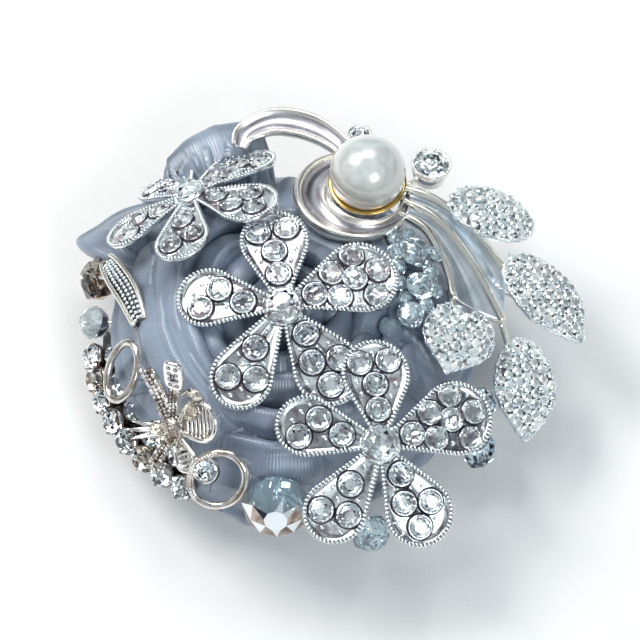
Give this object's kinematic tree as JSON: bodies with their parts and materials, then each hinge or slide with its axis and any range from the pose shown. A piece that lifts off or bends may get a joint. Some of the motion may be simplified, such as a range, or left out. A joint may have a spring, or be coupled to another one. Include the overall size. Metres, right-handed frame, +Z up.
{
  "type": "rhinestone hair clip",
  "caption": "Round satin rose covered with rhinestone flower castings, a pearl brooch and glass beads, on a felt base with a sprung alligator clip underneath.",
  "frame": {"origin": "middle of the lower jaw's flat underside, which rests on the table", "axes": "+Z up through the rose, +X towards the clip's tip, so that -X is the thumb lever; -Y is the front seen in the picture"},
  "size_m": [0.0804, 0.0743, 0.036],
  "materials": {
    "satin": "satin",
    "silver_plate": "polished",
    "cut_crystal": "polished",
    "bead_glass": "polished",
    "pearl_coat": "pearlescent gloss",
    "nickel_steel": "satin",
    "felt": "matt"
  },
  "bodies": {
    "brooch_body": {"satin_bud": "satin", "satin_inner_fold": "satin", "satin_rolled_fold": "satin", "satin_petal_1": "satin", "satin_petal_2": "satin", "satin_petal_3": "satin", "satin_petal_4": "satin", "satin_petal_5": "satin", "satin_petal_6": "satin", "satin_petal_7": "satin", "satin_petal_8": "satin", "satin_petal_9": "satin", "top_flower_plate": "silver_plate", "front_flower_plate": "silver_plate", "back_flower_plate": "silver_plate", "pearl_brooch_casting": "silver_plate", "pearl_cup": "silver_plate", "round_bezel": "silver_plate", "small_bezel": "silver_plate", "pave_leaf_1": "silver_plate", "pave_leaf_2": "silver_plate", "pave_leaf_3": "silver_plate", "pave_leaf_4": "silver_plate", "orchid_casting": "silver_plate", "orchid_ring": "silver_plate", "stone_loop": "silver_plate", "filigree_bar": "silver_plate", "rim_chain_strip": "silver_plate", "top_flower_centre_stone": "cut_crystal", "front_flower_centre_stone": "cut_crystal", "back_flower_centre_stone": "cut_crystal", "round_bezel_stone": "cut_crystal", "small_bezel_stone": "cut_crystal", "stone_loop_crystal": "cut_crystal", "orchid_crystal": "cut_crystal", "rim_chain_stone_1": "cut_crystal", "rim_chain_stone_2": "cut_crystal", "rim_chain_stone_3": "cut_crystal", "rim_chain_stone_4": "cut_crystal", "rim_chain_stone_5": "cut_crystal", "rim_chain_stone_6": "cut_crystal", "rim_chain_stone_7": "cut_crystal", "rim_chain_stone_8": "cut_crystal", "glass_bead_1": "bead_glass", "glass_bead_2": "bead_glass", "glass_bead_3": "bead_glass", "glass_bead_4": "bead_glass", "glass_bead_5": "bead_glass", "glass_bead_6": "bead_glass", "glass_bead_7": "bead_glass", "glass_bead_8": "bead_glass", "glass_bead_9": "bead_glass", "clip_top_plate": "nickel_steel", "clip_hinge_pin": "nickel_steel", "clip_torsion_spring": "nickel_steel", "felt_base": "felt", "felt_strap": "felt", "pearl": "pearl_coat"},
    "lower_jaw": {"clip_lower_jaw": "nickel_steel"}
  },
  "joints": [
    {"name": "jaw_hinge", "type": "hinge", "parent": "brooch_body", "child": "lower_jaw", "pos_m": [-0.014, 0, 0.005], "axis": [0, 1, 0], "range_deg": [0, 20], "stiffness_Nm_per_rad": 0.35, "springref_deg": -34.38}
  ]
}
